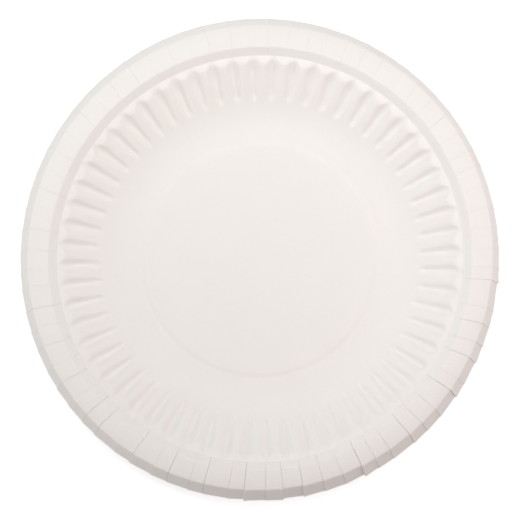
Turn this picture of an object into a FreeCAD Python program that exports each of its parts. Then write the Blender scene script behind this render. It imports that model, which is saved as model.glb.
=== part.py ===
import FreeCAD, Part
import math
import os

# A round plate pressed from one sheet of paperboard. Millimetres, +Z up, its axis on Z,
# standing on its foot ring at z = 0. Heights are those of the upper face, and radii are
# measured to the middle of each flute's or pleat's flat.

board_thickness = 0.45

# Flat middle, with a low step down to the foot ring
disc_radius = 54.8
disc_rise = 0.8
step_run = 2.6

# Wall of the well, from its concave foot up to the narrow ledge
ledge_height = 14.0
ledge_width = 3.9
wall_run = 24.4
wall_sweep_radius = 27.8

# Band, rim and turned-down skirt outside the ledge
plate_radius = 115.0
skirt_run = 3.4
skirt_drop = 4.6
rim_width = 10.3
rim_fall = 1.7
band_run = 3.8
band_rise = 3.1
crest_bend_radius = 1.4
crest_bend_flats = 1
skirt_bend_radius = 2.2
skirt_bend_flats = 2

# Flutes pressed into the wall by a round bar that dips in level and then climbs to the ledge
flute_count = 60
flute_turn = 4.7
flute_radius = 6.5
flute_sides = 20
flute_dip = 1.2
flute_tip_gap = 0.6

# Pleats that take up the sheet's spare edge round the rim
pleat_count = 72
pleat_turn = 2.6
pleat_yaw = 1.0
pleat_root = 0.3

axis_point = FreeCAD.Vector(0, 0, 0)
axis_dir = FreeCAD.Vector(0, 0, 1)
across = FreeCAD.Vector(0, 1, 0)
level = FreeCAD.Vector(1, 0, 0)

rim_outer_radius = plate_radius - skirt_run
rim_inner_radius = rim_outer_radius - rim_width
ledge_outer_radius = rim_inner_radius - band_run
ledge_inner_radius = ledge_outer_radius - ledge_width
root_radius = ledge_outer_radius - pleat_root
wall_foot_radius = ledge_inner_radius - wall_run
crest_height = ledge_height + band_rise
skirt_height = crest_height - rim_fall - skirt_drop
wall_slope = math.atan2(ledge_height - board_thickness, wall_run)
sweep_reach = wall_sweep_radius * math.tan(wall_slope / 2)
sweep_start_radius = wall_foot_radius - sweep_reach
half_flute = 180 / flute_count
half_pleat = 180 / pleat_count


def at(r, z):
    return FreeCAD.Vector(r, 0, z)


def line(a, b):
    return Part.LineSegment(a, b).toShape()


def crossing(p, u, q, v):
    """Crossing of the line through p along u and the line through q along v."""
    along = ((q.x - p.x) * v.z - (q.z - p.z) * v.x) / (u.x * v.z - u.z * v.x)
    return p + u * along


def face_edges(corners, bends, lift):
    """Edges along a row of corners, all moved off the upper face by lift.

    bends holds the inside radius at each inner corner, as for folded sheet, or 0.
    """
    points = [at(r, z) for r, z in corners]
    dirs = [(b - a).normalize() for a, b in zip(points, points[1:])]
    lifted = [a + at(-u.z, u.x) * lift for a, u in zip(points, dirs)]
    moved = lifted[:1]
    for k in range(1, len(dirs)):
        moved.append(crossing(lifted[k - 1], dirs[k - 1], lifted[k], dirs[k]))
    moved.append(points[-1] + at(-dirs[-1].z, dirs[-1].x) * lift)

    edges = []
    start = moved[0]
    for k in range(1, len(dirs)):
        u, v = dirs[k - 1], dirs[k]
        end = moved[k]
        if bends[k - 1]:
            turn = math.atan2(u.x * v.z - u.z * v.x, u.dot(v))
            radius = bends[k - 1] - lift if turn > 0 else bends[k - 1] + board_thickness + lift
            reach = radius * math.tan(abs(turn) / 2)
            middle = end + (v - u).normalize() * (radius / math.cos(turn / 2) - radius)
            edges.append(line(start, end - u * reach))
            edges.append(Part.Arc(end - u * reach, middle, end + v * reach).toShape())
            start = end + v * reach
        else:
            edges.append(line(start, end))
            start = end
    edges.append(line(start, moved[-1]))
    return edges


def bent(corner, before, after, radius, flats):
    """Ends of the narrow flats that take a fold round a corner of the upper face."""
    u = (at(*corner) - at(*before)).normalize()
    v = (at(*after) - at(*corner)).normalize()
    turn = u.getAngle(v)
    side = at(-u.z, u.x) if u.x * v.z > u.z * v.x else at(u.z, -u.x)
    start = at(*corner) - u * (radius * math.tan(turn / 2))
    ends = []
    for k in range(flats + 1):
        a = turn * k / flats
        end = start + u * (radius * math.sin(a)) + side * (radius * (1 - math.cos(a)))
        ends.append((end.x, end.z))
    return ends


def sheet_face(corners, bends):
    """Section of the sheet along a row of corners, with square ends."""
    upper = face_edges(corners, bends, 0)
    lower = face_edges(corners, bends, -board_thickness)
    near = line(upper[0].firstVertex(True).Point, lower[0].firstVertex(True).Point)
    far = line(upper[-1].lastVertex(True).Point, lower[-1].lastVertex(True).Point)
    return Part.Face(Part.Wire(upper + [far] + lower[::-1] + [near]))


def ground_face(corners, bends, lift, base):
    """Section of everything between a moved row of corners and the height base."""
    edges = face_edges(corners, bends, lift)
    near, far = edges[0].firstVertex(True).Point, edges[-1].lastVertex(True).Point
    low_near, low_far = at(near.x, base), at(far.x, base)
    return Part.Face(Part.Wire(edges + [line(far, low_far), line(low_far, low_near), line(low_near, near)]))


def widened(face, width):
    """Section drawn out to both sides of the XZ plane."""
    face.translate(across * (-width / 2))
    return face.extrude(across * width)


def around(shape, count, turn):
    """Copies of a shape spaced evenly about the plate's axis."""
    copies = []
    for k in range(count):
        copy = shape.copy()
        copy.rotate(axis_point, axis_dir, turn + 360 * k / count)
        copies.append(copy)
    return copies


def flat_sided(radius, count, turn):
    """Upright block, taller than the plate, with flats at the given radius and a corner at turn."""
    corner = radius / math.cos(math.pi / count)
    points = []
    for k in range(count + 1):
        a = math.radians(turn + 360 * (k % count) / count)
        points.append(FreeCAD.Vector(corner * math.cos(a), corner * math.sin(a), -crest_height))
    return Part.Face(Part.makePolygon(points)).extrude(axis_dir * 3 * crest_height)


def wedge(half_angle, inner):
    """Everything within half_angle of the XZ plane and beyond the flat at radius inner."""
    outer = 2 * plate_radius
    slant = math.tan(math.radians(half_angle))
    corners = []
    for r, side in ((inner, -1), (outer, -1), (outer, 1), (inner, 1), (inner, -1)):
        corners.append(FreeCAD.Vector(r, side * r * slant, -crest_height))
    return Part.Face(Part.makePolygon(corners)).extrude(axis_dir * 3 * crest_height)


def flat_faced(rings):
    """Solid with flat faces between rings of points, closed by the first and last ring."""
    faces = [Part.Face(Part.makePolygon(ring + ring[:1])) for ring in (rings[0], rings[-1])]
    for near, far in zip(rings, rings[1:]):
        for k in range(len(near)):
            faces.append(Part.Face(Part.makePolygon([near[k - 1], near[k], far[k], far[k - 1], near[k - 1]])))
    solid = Part.Solid(Part.Shell(faces))
    if solid.Volume < 0:
        solid.reverse()
    return solid


# Middle: disc, step and foot ring, out to half way along the ring
foot_inner_radius = disc_radius + step_run
foot_joint_radius = (foot_inner_radius + sweep_start_radius) / 2
middle_corners = [
    (0, board_thickness + disc_rise),
    (disc_radius, board_thickness + disc_rise),
    (foot_inner_radius, board_thickness),
    (wall_foot_radius, board_thickness),
]
middle = sheet_face(middle_corners, [0, 0]).revolve(axis_point, axis_dir, 360)
middle = middle.common(flat_sided(foot_joint_radius, flute_count, flute_turn))

# Floor of a flute: level from the end of the wall's concave foot, then up to its tip on the ledge
dip_start = at(
    wall_foot_radius + sweep_reach * math.cos(wall_slope),
    board_thickness + sweep_reach * math.sin(wall_slope),
)
dip_end = dip_start + level * flute_dip
flute_tip = at(ledge_outer_radius - flute_tip_gap, ledge_height)
climb = (flute_tip - dip_end).normalize()
mitre = (level + climb).normalize()
mitre_up = at(-mitre.z, mitre.x) * (1 / level.dot(mitre))
elbow = dip_end + mitre_up * flute_radius


def flute_tool(radius):
    """Many-sided round bar, bent at the elbow, whose lowest flat is the flute's floor."""
    corner = radius / math.cos(math.pi / flute_sides)

    def ring(centre, up):
        points = []
        for k in range(flute_sides):
            a = 2 * math.pi * (k + 0.5) / flute_sides
            points.append(centre - up * (corner * math.cos(a)) + across * (corner * math.sin(a)))
        return points

    climb_up = at(-climb.z, climb.x)
    far = elbow + climb * ((flute_tip - dip_end).Length + radius)
    return flat_faced([ring(elbow - level * 2 * flute_dip, axis_dir), ring(elbow, mitre_up), ring(far, climb_up)])


# Wall and ledge, one flat-sided piece for each flute
wall_corners = [
    (foot_joint_radius, board_thickness),
    (wall_foot_radius, board_thickness),
    (ledge_inner_radius, ledge_height),
    (ledge_outer_radius + band_run, ledge_height),
]
wall_bends = [wall_sweep_radius, 0]
wall_width = plate_radius / flute_count * 4 * math.pi
above = widened(ground_face(wall_corners, wall_bends, 0, -ledge_height), wall_width)
below = widened(ground_face(wall_corners, wall_bends, -board_thickness, -2 * ledge_height), wall_width)
wall_piece = above.cut(flute_tool(flute_radius)).cut(below.cut(flute_tool(flute_radius + board_thickness)))
wall_piece = wall_piece.common(wedge(half_flute, foot_joint_radius))

well = middle.multiFuse(around(wall_piece, flute_count, flute_turn + half_flute))
well = well.common(flat_sided(root_radius, pleat_count, pleat_turn))

# Rim, one panel between each two pleats: turned a little, so one end stands proud of its neighbour
band_foot = (ledge_outer_radius, ledge_height)
crest = (rim_inner_radius, crest_height)
rim_edge = (rim_outer_radius, crest_height - rim_fall)
lip = (plate_radius, crest_height - rim_fall - skirt_drop)
rim_corners = [(ledge_inner_radius, ledge_height), band_foot]
rim_corners += bent(crest, band_foot, rim_edge, crest_bend_radius, crest_bend_flats)
rim_corners += bent(rim_edge, crest, lip, skirt_bend_radius, skirt_bend_flats)
rim_corners += [lip]
panel_width = plate_radius / pleat_count * 4 * math.pi
panel = widened(sheet_face(rim_corners, [0] * (len(rim_corners) - 2)), panel_width)
panel.rotate(at(ledge_outer_radius, 0), axis_dir, pleat_yaw)
panel = panel.common(wedge(half_pleat, root_radius))

plate = well.multiFuse(around(panel, pleat_count, pleat_turn + half_pleat)).removeSplitter()

os.makedirs("parts", exist_ok=True)
plate.Solids[0].exportStep("parts/plate.step")
print("solids", len(plate.Solids), "valid", plate.isValid(), "volume mm3", round(plate.Volume, 1))
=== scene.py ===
import bpy
import math
import random
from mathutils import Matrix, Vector


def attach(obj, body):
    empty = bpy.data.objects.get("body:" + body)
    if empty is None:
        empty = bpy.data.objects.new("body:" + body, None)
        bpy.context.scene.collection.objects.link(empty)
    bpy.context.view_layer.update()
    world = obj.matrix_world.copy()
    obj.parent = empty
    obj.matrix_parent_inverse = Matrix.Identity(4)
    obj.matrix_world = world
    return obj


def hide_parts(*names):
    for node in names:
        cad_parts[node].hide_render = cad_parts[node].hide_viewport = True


# A fluted paper plate seen from above. The mesh is worked out in millimetres, with azimuths in
# degrees clockwise from the photograph's top (+Y), and is turned to metres at the end.

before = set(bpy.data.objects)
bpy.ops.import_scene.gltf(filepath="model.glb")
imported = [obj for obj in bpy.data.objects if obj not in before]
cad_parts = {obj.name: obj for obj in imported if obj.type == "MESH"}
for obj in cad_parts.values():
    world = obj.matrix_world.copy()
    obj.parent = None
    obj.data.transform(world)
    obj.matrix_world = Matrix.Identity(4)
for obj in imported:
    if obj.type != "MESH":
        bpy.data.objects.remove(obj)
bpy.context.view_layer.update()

MM = 0.001

# Sizes of the pressed form, those of the part or near them where the photograph asks for it
board_thickness = 0.45
disc_radius = 54.8
disc_rise = 0.8
disc_edge_inside = 0.5
step_run = 2.6
ledge_height = 13.4
ledge_inner_radius = 92.75
ledge_outer_radius = 96.5
wall_run = 23.15
wall_sweep_radius = 27.8
band_foot_run = 0.25
rim_inner_radius = 100.45
rim_middle_radius = 107.0
rim_outer_radius = 110.6
lip_radius = 114.45
crest_height = 16.75
rim_middle_height = 16.4
rim_edge_height = 15.4
lip_height = 10.8

# Bends of the band, rim and skirt
band_foot_bend = 0.7
crest_bend = 1.5
rim_bend = 24.0
skirt_bend = 1.5

# The blank sat a little off the die, so the cut edge isn't concentric with the pressed form
form_shift = Vector((0.2, 0.4, 0))
bend_shift = Vector((-0.1, 0.6, 0))
form_ovalness = 0.45
form_long_azimuth = 45
lip_ovalness = 0.35
lip_tilt = 2.6

# Flutes
flute_count = 60
flute_phase = 3.95
flute_wave = 3.0
flute_sag = 0.8
flute_sag_bias = 1.6
flute_dip = 2.6
flute_tip_gap = 0.6
flute_floor_softness = 0.5
ridge_softness = 0.85
ledge_softness = 0.35

# Folds of the rim and skirt
fold_count = 72
fold_phase = 2.4
fold_scatter = 0.45
fold_half_width = 0.09
fold_step_least = 0.05
fold_step_most = 0.3
fold_step_scatter = 0.3
fold_lean = 0.35
crease_least = 0.25
crease_most = 0.75
slot_depth_least = 0.08
slot_depth_most = 0.48
bulge_below = 0.45
strong_fold_reach = 2.2
drift_back = (95, 210)
drift_on = (293, 357)

# Away from the side that the folds are strong on, they have this share of their strength
faint_fold_weight = 0.3
strong_side_rise = (80, 125)
strong_side_fall = (255, 310)

# Beside some folds, a strip of doubled board stands proud
doubled_chance = 0.3
doubled_chance_more = 0.3
doubled_width_least = 0.45
doubled_width_most = 0.85
doubled_lift = 0.07
doubled_lift_share = 0.1
doubled_edge_half = 0.012
doubled_edge_clear = 0.03

# Where the points of a panel lie between its two folds, and where its step and its bulge ease out
panel_spots = (0.0, 0.05, 0.12, 0.25, 0.42, 0.58, 0.75, 0.88, 0.95, 1.0)
step_before_ends = 0.9
step_after_starts = 0.1
bulge_ends = (0.05, 0.2)
bulge_starts = (0.8, 0.95)

# Stretches of the section, from 0 at the ledge to 1 at the lip
lift_on_rim = 0.35
lift_starts = (0, 0.15)
lift_grows = (0.6, 1.0)
crease_opens = (0, 0.2)
bend_shift_grows = (0.2, 0.65)
panel_flattens = (0.55, 0.8)
skirt_stretch = (0.7, 1.0)

# Rings of points, and points round each
middle_radii = (9, 20, 32, 43, 50, 53.2, 54.2, 54.8, 55.3, 55.8, 56.3, 56.8, 57.3, 58.2, 59.6)
wall_radii = (
    61.2, 62.6, 64.4, 66.4, 68.6, 70.8, 72.6, 74.0, 75.0, 75.6, 76.2, 76.9, 77.7, 78.8, 80.2,
    81.8, 83.4, 85.0, 86.6, 88.2, 89.6, 90.8, 91.8, 92.6, 93.3, 94.0, 94.7, 95.4, 96.1, 96.8,
)
points_round_middle = 240
points_per_flute_above = 18
points_per_flute_below = 10
sharp_angle = 32

# Picture
image_pixels = 520
pixel_size = 0.4765
camera_distance = 1200.0
camera_elevation = 88.5
plate_centre_px = (259.8, 259.3)
aim_height = 10.8

dice = random.Random(72)

wall_foot_radius = ledge_inner_radius - wall_run
wall_slope = math.atan2(ledge_height - board_thickness, wall_run)
sweep_reach = wall_sweep_radius * math.tan(wall_slope / 2)
sweep_start = wall_foot_radius - sweep_reach
sweep_end = wall_foot_radius + sweep_reach * math.cos(wall_slope)
dip_height = board_thickness + sweep_reach * math.sin(wall_slope)
dip_end = sweep_end + flute_dip
flute_tip = ledge_outer_radius - flute_tip_gap
climb = math.atan2(ledge_height - dip_height, flute_tip - dip_end)
fold_pitch = 360 / fold_count


def ramp(x, start, end):
    """0 before start, 1 after end, and a smooth rise between."""
    t = min(max((x - start) / (end - start), 0.0), 1.0)
    return t * t * (3 - 2 * t)


def lesser(a, b, blend):
    """The lower of two heights, rounded over where they cross."""
    h = max(blend - abs(a - b), 0.0) / blend
    return min(a, b) - h * h * blend / 4


def middle_height(r):
    return board_thickness + disc_rise * (1 - ramp(r, disc_radius - disc_edge_inside, disc_radius + step_run))


def wall_height(r):
    """Upper face of the well's wall and ledge between the flutes."""
    if r < sweep_start:
        return board_thickness
    if r < sweep_end:
        drop = math.sqrt(wall_sweep_radius ** 2 - (r - sweep_start) ** 2)
        return board_thickness + wall_sweep_radius - drop
    straight = board_thickness + (r - wall_foot_radius) * math.tan(wall_slope)
    return lesser(straight, ledge_height, ledge_softness)


def flute_height(r, off):
    """Face of a flute, off degrees from its middle line: a wave over a floor that dips, then climbs."""
    climbing = dip_height + (r - dip_end) * math.tan(climb)
    floor = -lesser(-dip_height, -climbing, flute_floor_softness)
    if dip_end < r < flute_tip:
        along = ((r - dip_end) / (flute_tip - dip_end)) ** flute_sag_bias
        floor -= flute_sag * math.sin(math.pi * along) ** 2
    return floor + flute_wave * (1 - math.cos(math.radians(off * flute_count))) / 2


def well_height(r, azimuth):
    if r < sweep_start:
        return middle_height(r)
    return lesser(wall_height(r), flute_height(r, azimuth - flute_phase), ridge_softness)


def place(r, azimuth, z):
    a = math.radians(azimuth)
    return Vector((r * math.sin(a), r * math.cos(a), z))


def form_oval(r, azimuth):
    """How much further out the form lies at an azimuth than if it were round."""
    return form_ovalness * math.cos(math.radians(2 * (azimuth - form_long_azimuth))) * r / ledge_outer_radius


def place_in_form(r, azimuth, z):
    return place(r + form_oval(r, azimuth), azimuth, z) + form_shift


def well_point(r, azimuth, depth):
    """A point of the well, depth below its upper face along the face's normal."""
    z = well_height(r, azimuth)
    if depth == 0:
        return place_in_form(r, azimuth, z)
    step = 0.05
    turn = math.degrees(step / r)
    slope_out = (well_height(r + step, azimuth) - well_height(r - step, azimuth)) / (2 * step)
    slope_round = (well_height(r, azimuth + turn) - well_height(r, azimuth - turn)) / (2 * step)
    a = math.radians(azimuth)
    out = Vector((math.sin(a), math.cos(a), 0))
    clockwise = Vector((math.cos(a), -math.sin(a), 0))
    normal = (Vector((0, 0, 1)) - out * slope_out - clockwise * slope_round).normalized()
    return place_in_form(r, azimuth, z) - normal * depth


def rounded(corners, bends, steps):
    """Points along a row of corners, with an arc at each inner corner."""
    points = [Vector(corners[0])]
    for k, (bend, arc_steps) in enumerate(zip(bends, steps), start=1):
        here = Vector(corners[k])
        u = (here - Vector(corners[k - 1])).normalized()
        v = (Vector(corners[k + 1]) - here).normalized()
        turn = u.angle_signed(v)
        reach = bend * math.tan(abs(turn) / 2)
        start = here - u * reach
        side = Vector((u.y, -u.x)) * (1 if turn > 0 else -1)
        centre = start + side * bend
        for j in range(arc_steps + 1):
            a = abs(turn) * j / arc_steps
            points.append(centre - side * bend * math.cos(a) + u * bend * math.sin(a))
    points.append(Vector(corners[-1]))
    return points


# Section of the band, rim and skirt: its rows, the way each faces and how far out along it each is
rim_rows = rounded(
    [
        (ledge_outer_radius, ledge_height),
        (ledge_outer_radius + band_foot_run, ledge_height),
        (rim_inner_radius, crest_height),
        (rim_middle_radius, rim_middle_height),
        (rim_outer_radius, rim_edge_height),
        (lip_radius, lip_height),
    ],
    [band_foot_bend, crest_bend, rim_bend, skirt_bend],
    [3, 5, 3, 6],
)
half_way_to_lip = rim_rows[-2].lerp(rim_rows[-1], 0.5)
rim_rows.insert(-1, half_way_to_lip)
rim_facing = []
rim_reach = [0.0]
for k, point in enumerate(rim_rows):
    before, after = rim_rows[max(k - 1, 0)], rim_rows[min(k + 1, len(rim_rows) - 1)]
    along = (after - before).normalized()
    rim_facing.append(Vector((-along.y, along.x)))
    if k:
        rim_reach.append(rim_reach[-1] + (point - rim_rows[k - 1]).length)
rim_facing[0] = Vector((0, 1))


def drift(azimuth):
    """The folds fall back by one pitch on the way round, and catch up again."""
    return fold_pitch * (ramp(azimuth, *drift_back) - ramp(azimuth, *drift_on))


# The folds that stand out most: azimuth, step at the lip (down going clockwise) and depth of the crease
strong_folds = (
    (95.6, 0.75, 0.4), (106.8, 0.2, 0.7), (115.6, 0.75, 0.8), (124.9, 0.75, 0.9), (139.8, 0.35, 0.9),
    (153.9, 1.15, 0.9), (169.3, 0.7, 0.8), (174.4, -0.95, 0.7), (183.8, 0.9, 1.0), (193.9, 0.2, 0.9),
    (203.1, 0.3, 1.0), (212.7, 0.6, 0.9), (223.4, 0.4, 0.9), (227.8, 0.35, 0.9), (237.6, 0.4, 0.8),
)


def throw_fold(i):
    """A fold: its azimuth, step at the lip, crease, lean and whether doubled board lies beside it."""
    azimuth = fold_phase + fold_pitch * i - drift(fold_pitch * i) + dice.uniform(-fold_scatter, fold_scatter)
    strong_side = ramp(azimuth, *strong_side_rise) * (1 - ramp(azimuth, *strong_side_fall))
    weight = faint_fold_weight + (1 - faint_fold_weight) * strong_side
    step_range = fold_step_most - fold_step_least
    step = fold_step_least + step_range * weight * dice.uniform(fold_step_scatter, 1.0)
    crease = weight * dice.uniform(crease_least, crease_most)
    doubled = dice.random() < doubled_chance + doubled_chance_more * weight
    for near, height, depth in strong_folds:
        if abs(azimuth - near) < strong_fold_reach:
            azimuth, step, crease = near, height, depth
    return azimuth, step, crease, dice.uniform(-fold_lean, fold_lean), doubled


folds = sorted(throw_fold(i) for i in range(fold_count))


def panel_columns(fold, next_fold):
    """Columns of points from one fold to the next: azimuth, lift, slot, bulge below, lean and facet."""
    start, step_before, crease, lean_start, _ = fold
    end, step_after, _, lean_end, doubled_end = next_fold
    if end < start:
        end += 360
    width = end - start
    half = math.radians(width / 2)
    strip = dice.uniform(doubled_width_least, doubled_width_most) if doubled_end else 0
    spots = list(panel_spots)
    if strip:
        edge = 1 - strip / width
        spots = [s for s in spots if abs(s - edge) > doubled_edge_clear]
        spots += [edge - doubled_edge_half, edge + doubled_edge_half]
    slot = slot_depth_least + (slot_depth_most - slot_depth_least) * crease
    panel = [(start, 0, slot, -bulge_below, lean_start, 1.0)]
    for u in sorted(spots):
        azimuth = start + width * u
        if u == 0:
            azimuth += fold_half_width
        if u == 1:
            azimuth -= fold_half_width
        # Each of the two panels at a fold takes half of its step
        lift = -0.5 * step_before * (1 - ramp(u, 0, step_before_ends))
        lift += 0.5 * step_after * ramp(u, step_after_starts, 1)
        below = -bulge_below * (1 - ramp(u, *bulge_ends) + ramp(u, *bulge_starts))
        if strip and u > 1 - strip / width:
            lift += doubled_lift + doubled_lift_share * abs(step_after)
        lean = lean_start + (lean_end - lean_start) * u
        facet = math.cos(half) / math.cos(half * (2 * u - 1))
        panel.append((azimuth, lift, 0, below, lean, facet))
    return panel


columns = []
for i, fold in enumerate(folds):
    columns += panel_columns(fold, folds[(i + 1) % fold_count])


def rim_point(row, column, depth):
    """A point of the band, rim or skirt, depth below its upper face."""
    azimuth, lift, slot, below, lean, facet = column
    point, facing = rim_rows[row], rim_facing[row]
    share = rim_reach[row] / rim_reach[-1]
    grown = lift_on_rim * ramp(share, *lift_starts) + (1 - lift_on_rim) * ramp(share, *lift_grows)
    opened = ramp(share, *crease_opens)
    skirt = ramp(share, *skirt_stretch)
    flat = 1 - (1 - facet) * ramp(share, *panel_flattens)
    if depth:
        out = point + facing * (lift * grown + below * opened - depth)
    else:
        out = point + facing * (lift * grown - slot * opened)
    azimuth += lean * share
    a = math.radians(azimuth)
    r = out.x * flat + form_oval(out.x, azimuth) * (1 - skirt / 2) + lip_ovalness * math.cos(2 * a) * skirt
    z = out.y + lip_tilt * math.cos(a) * skirt
    moved = form_shift + bend_shift * ramp(share, *bend_shift_grows)
    return place(r, azimuth, z) + moved * (1 - skirt)


vertices = []
faces = []


def ring(points):
    first = len(vertices)
    vertices.extend(points)
    return list(range(first, len(vertices)))


def add_face(corners, up):
    faces.append(corners if up else corners[::-1])


def join(inner, outer, up):
    """Faces between two rings of as many points."""
    n = len(inner)
    for k in range(n):
        after = (k + 1) % n
        add_face((inner[k], inner[after], outer[after], outer[k]), up)


def azimuth_of(index):
    x, y, z = vertices[index]
    return math.degrees(math.atan2(x - form_shift.x, y - form_shift.y)) % 360


def zip_rings(inner, outer, up):
    """Triangles between two rings with different numbers of points."""
    inner = sorted(inner, key=azimuth_of)
    outer = sorted(outer, key=azimuth_of)
    a_in = [azimuth_of(k) for k in inner] + [azimuth_of(inner[0]) + 360]
    a_out = [azimuth_of(k) for k in outer] + [azimuth_of(outer[0]) + 360]
    i = j = 0
    while i < len(inner) or j < len(outer):
        a, b = inner[i % len(inner)], outer[j % len(outer)]
        if j >= len(outer) or (i < len(inner) and a_in[i + 1] <= a_out[j + 1]):
            i += 1
            add_face((a, inner[i % len(inner)], b), up)
        else:
            j += 1
            add_face((a, outer[j % len(outer)], b), up)


def side_of_board(depth, per_flute, skip):
    """One face of the board from the middle to the lip; returns its outermost ring."""
    up = depth == 0
    around = points_round_middle
    rings = [[well_point(r, 360 * k / around, depth) for k in range(around)] for r in middle_radii]
    around = flute_count * per_flute
    for r in wall_radii[:-1:skip] + wall_radii[-1:]:
        rings.append([well_point(r, flute_phase + 360 * k / around, depth) for k in range(around)])
    for row in range(len(rim_rows)):
        rings.append([rim_point(row, column, depth) for column in columns])

    centre = ring([place_in_form(0, 0, middle_height(0) - depth)])[0]
    last = ring(rings[0])
    for k in range(len(last)):
        add_face((centre, last[(k + 1) % len(last)], last[k]), up)
    for points in rings[1:]:
        here = ring(points)
        if len(here) == len(last):
            join(last, here, up)
        else:
            zip_rings(last, here, up)
        last = here
    return last


def sheet_mesh():
    upper_lip = side_of_board(0, points_per_flute_above, 1)
    lower_lip = side_of_board(board_thickness, points_per_flute_below, 2)
    join(upper_lip, lower_lip, True)
    mesh = bpy.data.meshes.new("paper_plate_sheet")
    mesh.from_pydata([tuple(v * MM) for v in vertices], [], faces)
    mesh.validate()
    for polygon in mesh.polygons:
        polygon.use_smooth = True
    mesh.set_sharp_from_angle(angle=math.radians(sharp_angle))
    mesh.update()
    return mesh


plate = bpy.data.objects.new("paper_plate_sheet", sheet_mesh())
bpy.context.scene.collection.objects.link(plate)
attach(plate, "root")
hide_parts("plate")

# Paperboard: near-white, with faint fibres and mottling, and one speck of pulp
pale_tone = (0.874, 0.848, 0.809, 1)
paler_tone = (0.894, 0.872, 0.839, 1)
speck_tone = (0.42, 0.27, 0.16, 1)
speck_place = (-0.0124, 0.0905, 0.0118)
speck_core = 0.00025
speck_edge = 0.0007
speck_strength = 0.5
mottle_scale = 55
fibre_scale = 900
fleck_strength = 0.05
fibre_bump = 0.12
fibre_height = 0.00012


def paperboard():
    material = bpy.data.materials.new("paperboard")
    material.use_nodes = True
    nodes, links = material.node_tree.nodes, material.node_tree.links
    shader = nodes["Principled BSDF"]
    where = nodes.new("ShaderNodeTexCoord")

    mottle = nodes.new("ShaderNodeTexNoise")
    mottle.inputs["Scale"].default_value = mottle_scale
    mottle.inputs["Detail"].default_value = 3
    links.new(where.outputs["Object"], mottle.inputs["Vector"])
    fibre = nodes.new("ShaderNodeTexNoise")
    fibre.inputs["Scale"].default_value = fibre_scale
    fibre.inputs["Detail"].default_value = 4
    fibre.inputs["Roughness"].default_value = 0.65
    fibre.inputs["Distortion"].default_value = 0.8
    links.new(where.outputs["Object"], fibre.inputs["Vector"])

    tone = nodes.new("ShaderNodeMix")
    tone.data_type = "RGBA"
    tone.inputs["A"].default_value = pale_tone
    tone.inputs["B"].default_value = paler_tone
    links.new(mottle.outputs["Fac"], tone.inputs["Factor"])
    flecked = nodes.new("ShaderNodeMix")
    flecked.data_type = "RGBA"
    flecked.blend_type = "MULTIPLY"
    flecked.inputs["Factor"].default_value = fleck_strength
    links.new(tone.outputs["Result"], flecked.inputs["A"])
    links.new(fibre.outputs["Fac"], flecked.inputs["B"])

    speck = nodes.new("ShaderNodeVectorMath")
    speck.operation = "DISTANCE"
    speck.inputs[1].default_value = speck_place
    links.new(where.outputs["Object"], speck.inputs[0])
    near = nodes.new("ShaderNodeMapRange")
    near.inputs["From Min"].default_value = speck_core
    near.inputs["From Max"].default_value = speck_edge
    near.inputs["To Min"].default_value = speck_strength
    near.inputs["To Max"].default_value = 0.0
    links.new(speck.outputs["Value"], near.inputs["Value"])
    colour = nodes.new("ShaderNodeMix")
    colour.data_type = "RGBA"
    colour.inputs["B"].default_value = speck_tone
    links.new(near.outputs["Result"], colour.inputs["Factor"])
    links.new(flecked.outputs["Result"], colour.inputs["A"])
    links.new(colour.outputs["Result"], shader.inputs["Base Color"])

    shader.inputs["Roughness"].default_value = 0.6
    shader.inputs["Specular IOR Level"].default_value = 0.25

    bump = nodes.new("ShaderNodeBump")
    bump.inputs["Strength"].default_value = fibre_bump
    bump.inputs["Distance"].default_value = fibre_height
    links.new(fibre.outputs["Fac"], bump.inputs["Height"])
    links.new(bump.outputs["Normal"], shader.inputs["Normal"])
    return material


plate.data.materials.append(paperboard())

# Floor: white to the camera, and it takes the plate's shadow
floor_half = 3.0
floor_drop = 0.0001
floor_tone = (0.82, 0.82, 0.82, 1)
floor_glow = 0.55


def floor_material():
    material = bpy.data.materials.new("pale_floor")
    material.use_nodes = True
    nodes, links = material.node_tree.nodes, material.node_tree.links
    nodes.clear()
    out = nodes.new("ShaderNodeOutputMaterial")
    matt = nodes.new("ShaderNodeBsdfDiffuse")
    matt.inputs["Color"].default_value = floor_tone
    glow = nodes.new("ShaderNodeEmission")
    glow.inputs["Strength"].default_value = floor_glow
    dark = nodes.new("ShaderNodeEmission")
    dark.inputs["Strength"].default_value = 0
    path = nodes.new("ShaderNodeLightPath")
    choose = nodes.new("ShaderNodeMixShader")
    add = nodes.new("ShaderNodeAddShader")
    links.new(path.outputs["Is Camera Ray"], choose.inputs["Fac"])
    links.new(dark.outputs["Emission"], choose.inputs[1])
    links.new(glow.outputs["Emission"], choose.inputs[2])
    links.new(matt.outputs["BSDF"], add.inputs[0])
    links.new(choose.outputs["Shader"], add.inputs[1])
    links.new(add.outputs["Shader"], out.inputs["Surface"])
    return material


floor_corners = [(x * floor_half, y * floor_half, 0) for x, y in ((-1, -1), (1, -1), (1, 1), (-1, 1))]
floor_mesh = bpy.data.meshes.new("floor")
floor_mesh.from_pydata(floor_corners, [], [(0, 1, 2, 3)])
floor = bpy.data.objects.new("floor", floor_mesh)
floor.location.z = -floor_drop
floor.data.materials.append(floor_material())
bpy.context.scene.collection.objects.link(floor)

# Plain soft light: a faint even world, square lamps close above the plate and weak fills from afar
world_strength = 0.1
cool = (0.965, 1.0, 1.015)
warm = (1.08, 0.965, 0.955)
far_lamp_distance = 2
far_lamp_spread = 25
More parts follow.
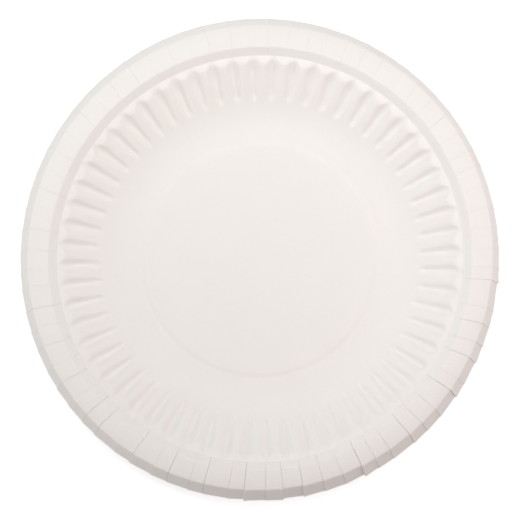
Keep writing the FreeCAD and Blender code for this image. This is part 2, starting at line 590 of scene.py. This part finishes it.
# name, azimuth, distance from the axis and height in metres, side in metres, watts, tint
near_lamps = (
    ("upper_right", 45, 0.35, 0.35, 0.3, 0.54, cool),
    ("upper_left", 315, 0.35, 0.35, 0.3, 0.35, cool),
    ("upper_left_high", 315, 0.2, 0.4, 0.15, 0.265, cool),
    ("right", 90, 0.35, 0.35, 0.3, 0.56, warm),
    ("left", 270, 0.35, 0.35, 0.3, 0.22, cool),
    ("top_low", 0, 0.1, 0.25, 0.15, 0.015, cool),
)
# name, azimuth, elevation, strength, tint
far_lamps = (
    ("overhead", 0, 89.9, 0.23, cool),
    ("lower_left_fill", 225, 40, 0.43, warm),
    ("lower_right_fill", 135, 40, 0.2, warm),
    ("left_fill", 270, 40, 0.1, cool),
    ("right_fill", 90, 40, 0.16, warm),
    ("left_low_fill", 270, 15, 0.53, cool),
    ("right_low_fill", 90, 15, 0.1, warm),
)


def studio_world():
    """Faint even light, and white to the camera."""
    world = bpy.data.worlds.new("studio")
    world.use_nodes = True
    nodes, links = world.node_tree.nodes, world.node_tree.links
    faint = nodes["Background"]
    faint.inputs["Color"].default_value = (*warm, 1)
    faint.inputs["Strength"].default_value = world_strength
    white = nodes.new("ShaderNodeBackground")
    white.inputs["Color"].default_value = (1, 1, 1, 1)
    white.inputs["Strength"].default_value = 1
    path = nodes.new("ShaderNodeLightPath")
    choose = nodes.new("ShaderNodeMixShader")
    links.new(path.outputs["Is Camera Ray"], choose.inputs["Fac"])
    links.new(faint.outputs["Background"], choose.inputs[1])
    links.new(white.outputs["Background"], choose.inputs[2])
    links.new(choose.outputs["Shader"], nodes["World Output"].inputs["Surface"])
    return world


def add_lamp(name, light, azimuth, out, up):
    """Hangs a lamp at an azimuth, out from the axis and up, and points it at the plate's middle."""
    a = math.radians(azimuth)
    lamp = bpy.data.objects.new(name, light)
    lamp.location = (math.sin(a) * out, math.cos(a) * out, up)
    lamp.rotation_mode = "QUATERNION"
    lamp.rotation_quaternion = lamp.location.to_track_quat("Z", "Y")
    lamp.visible_camera = False
    bpy.context.scene.collection.objects.link(lamp)


bpy.context.scene.world = studio_world()

for name, azimuth, out, up, side, watts, tint in near_lamps:
    light = bpy.data.lights.new(name, "AREA")
    light.shape = "SQUARE"
    light.size = side
    light.energy = watts
    light.color = tint
    add_lamp(name, light, azimuth, out, up)

for name, azimuth, elevation, strength, tint in far_lamps:
    light = bpy.data.lights.new(name, "SUN")
    light.angle = math.radians(far_lamp_spread)
    light.energy = strength
    light.color = tint
    e = math.radians(elevation)
    add_lamp(name, light, azimuth, far_lamp_distance * math.cos(e), far_lamp_distance * math.sin(e))

# Camera: nearly overhead, aimed so that the plate's middle falls on plate_centre_px
lens = bpy.data.cameras.new("camera")
lens.sensor_width = 36
lens.lens = lens.sensor_width * camera_distance / (image_pixels * pixel_size)
lens.clip_start = 0.05
lens.clip_end = 10
camera = bpy.data.objects.new("camera", lens)
aim = Vector((
    (image_pixels / 2 - plate_centre_px[0]) * pixel_size,
    -(image_pixels / 2 - plate_centre_px[1]) * pixel_size,
    aim_height,
)) * MM
e = math.radians(camera_elevation)
back = Vector((0, -math.cos(e), math.sin(e)))
camera.location = aim + back * camera_distance * MM
camera.rotation_mode = "QUATERNION"
camera.rotation_quaternion = (-back).to_track_quat("-Z", "Y")
bpy.context.scene.collection.objects.link(camera)
bpy.context.scene.camera = camera

bpy.context.scene.view_settings.view_transform = "Standard"
